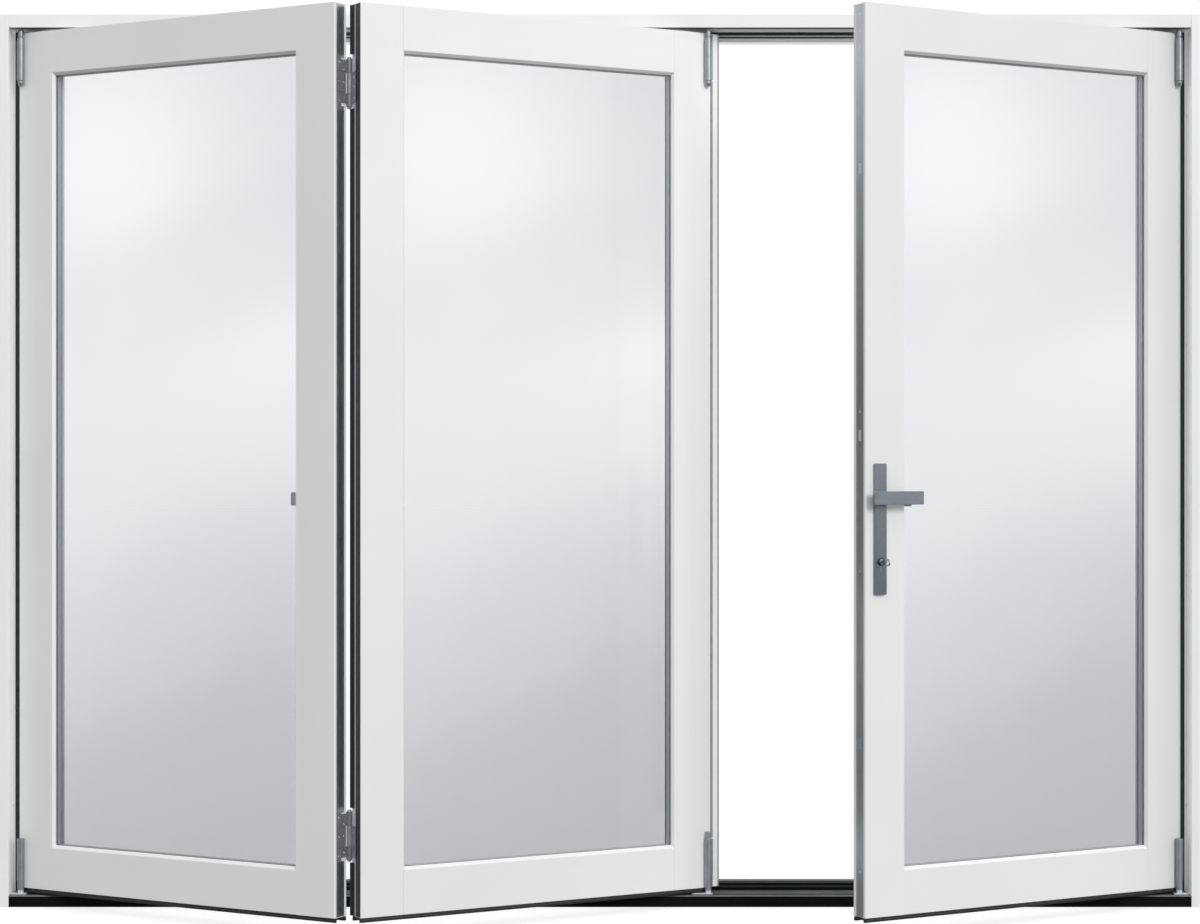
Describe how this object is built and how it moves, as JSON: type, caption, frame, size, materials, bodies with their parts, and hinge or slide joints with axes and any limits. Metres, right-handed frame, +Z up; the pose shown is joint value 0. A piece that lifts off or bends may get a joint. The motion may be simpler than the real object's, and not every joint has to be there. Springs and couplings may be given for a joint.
{
  "type": "folding patio door",
  "caption": "Outward-folding glazed patio door in a white timber frame, with hinged leaves running on a head track and a lever-locked swing leaf.",
  "frame": {"origin": "middle of the threshold's underside, half way through the frame's depth", "axes": "+X to the right seen from outside, +Y into the room, +Z up"},
  "size_m": [2.796, 0.5485, 2.08],
  "materials": {
    "white_paint": "satin white paint on timber",
    "glass": "clear sealed double glazing",
    "spacer": "matt mill aluminium",
    "rubber": "matt black",
    "dark_aluminium": "dark anodised",
    "track": "satin anodised",
    "zinc": "bright zinc plated",
    "hinge_steel": "satin zinc plated",
    "edge_steel": "satin",
    "handle_satin": "satin blue-grey",
    "wheel_plastic": "matt black nylon"
  },
  "bodies": {
    "frame": {"head_frame": "white_paint", "left_jamb": "white_paint", "right_jamb": "white_paint", "frame_stops": "white_paint", "threshold": "dark_aluminium", "threshold_stop": "dark_aluminium", "head_track": "track", "sill_channel": "dark_aluminium", "frame_seals": "rubber", "top_pivot_pins": "zinc", "bottom_pivot_shoes": "zinc"},
    "left_leaf": {"left_pivot_stile": "white_paint", "left_fold_stile": "white_paint", "left_rails": "white_paint", "left_glass_panes": "glass", "left_spacer_bar": "spacer", "left_glazing_beads": "white_paint", "left_bottom_seal": "rubber", "left_edge_strip": "edge_steel", "left_edge_screws": "edge_steel", "left_pivot_hinges": "hinge_steel", "fold_hinge_outer_flaps": "hinge_steel", "fold_handle_plate": "handle_satin"},
    "middle_leaf": {"middle_fold_stile": "white_paint", "middle_lead_stile": "white_paint", "middle_rails": "white_paint", "middle_glass_panes": "glass", "middle_spacer_bar": "spacer", "middle_glazing_beads": "white_paint", "middle_bottom_seal": "rubber", "middle_fold_seal": "rubber", "middle_carrier_hinges": "hinge_steel", "fold_hinge_inner_flaps": "hinge_steel", "meeting_strip": "white_paint", "strike_plates": "edge_steel", "meeting_seal": "rubber"},
    "right_leaf": {"right_lock_stile": "white_paint", "right_pivot_stile": "white_paint", "right_rails": "white_paint", "right_glass_panes": "glass", "right_spacer_bar": "spacer", "right_glazing_beads": "white_paint", "right_bottom_seal": "rubber", "right_pivot_hinges": "hinge_steel", "lock_faceplate": "edge_steel", "lock_screws": "edge_steel", "lock_case": "edge_steel", "handle_backplates": "handle_satin", "lock_cylinder": "handle_satin"},
    "lock_lever": {"outer_lever": "handle_satin", "inner_lever": "handle_satin"},
    "lock_bolt_set": {"lock_bolts": "edge_steel"},
    "key": {"door_key": "handle_satin"},
    "fold_handle": {"fold_lever": "handle_satin"},
    "upper_rod": {"fold_rod_top": "edge_steel"},
    "lower_rod": {"fold_rod_bottom": "edge_steel"},
    "top_carriage": {"carrier_trolley": "zinc"},
    "left_wheels": {"carrier_wheels_left": "wheel_plastic"},
    "right_wheels": {"carrier_wheels_right": "wheel_plastic"},
    "floor_guide": {"bottom_guide": "zinc"}
  },
  "joints": [
    {"name": "left_leaf_swing", "type": "hinge", "parent": "frame", "child": "left_leaf", "pos_m": [-1.354, -0.0365, 0], "axis": [0, 0, -1], "range_deg": [-29.5, 50.5]},
    {"name": "fold_swing", "type": "hinge", "parent": "left_leaf", "child": "middle_leaf", "pos_m": [-0.55052, -0.42272, 0], "axis": [0, 0, 1], "range_deg": [-59, 101]},
    {"name": "carriage_swivel", "type": "hinge", "parent": "middle_leaf", "child": "top_carriage", "pos_m": [0.25296, -0.0365, 0], "axis": [0, 0, -1], "range_deg": [-29.5, 50.5]},
    {"name": "guide_swivel", "type": "hinge", "parent": "middle_leaf", "child": "floor_guide", "pos_m": [0.25296, -0.0365, 0], "axis": [0, 0, -1], "range_deg": [-29.5, 50.5]},
    {"name": "left_wheels_roll", "type": "hinge", "parent": "top_carriage", "child": "left_wheels", "pos_m": [0.24196, -0.0365, 2.0598], "axis": [0, 1, 0], "continuous": true},
    {"name": "right_wheels_roll", "type": "hinge", "parent": "top_carriage", "child": "right_wheels", "pos_m": [0.26396, -0.0365, 2.0598], "axis": [0, 1, 0], "continuous": true},
    {"name": "right_leaf_swing", "type": "hinge", "parent": "frame", "child": "right_leaf", "pos_m": [1.354, -0.0365, 0], "axis": [0, 0, 1], "range_deg": [-29.5, 80.5]},
    {"name": "lever_turn", "type": "hinge", "parent": "right_leaf", "child": "lock_lever", "pos_m": [0.61045, -0.44742, 0.9585], "axis": [-0.4924, 0.8704, 0], "range_deg": [0, 90]},
    {"name": "bolt_throw", "type": "slide", "parent": "right_leaf", "child": "lock_bolt_set", "axis": [-0.8704, -0.4924, 0], "range_m": [0, 0.0151]},
    {"name": "key_turn", "type": "hinge", "parent": "right_leaf", "child": "key", "pos_m": [0.61045, -0.44742, 0.819], "axis": [-0.4924, 0.8704, 0], "continuous": true},
    {"name": "fold_lever_turn", "type": "hinge", "parent": "left_leaf", "child": "fold_handle", "pos_m": [-0.60999, -0.39482, 0.955], "axis": [-0.4924, -0.8704, 0], "range_deg": [0, 90]},
    {"name": "upper_rod_slide", "type": "slide", "parent": "left_leaf", "child": "upper_rod", "axis": [0, 0, 1], "range_m": [0, 0.0241]},
    {"name": "lower_rod_slide", "type": "slide", "parent": "left_leaf", "child": "lower_rod", "axis": [0, 0, -1], "range_m": [0, 0.0241]}
  ],
  "couplings": [
    {"joint": "fold_swing", "follows": "left_leaf_swing", "ratio": 2},
    {"joint": "carriage_swivel", "follows": "left_leaf_swing", "ratio": 1},
    {"joint": "guide_swivel", "follows": "left_leaf_swing", "ratio": 1},
    {"joint": "bolt_throw", "follows": "lever_turn", "m_per_rad": 0.0095493},
    {"joint": "upper_rod_slide", "follows": "fold_lever_turn", "m_per_rad": 0.015279},
    {"joint": "lower_rod_slide", "follows": "fold_lever_turn", "m_per_rad": 0.015279}
  ]
}
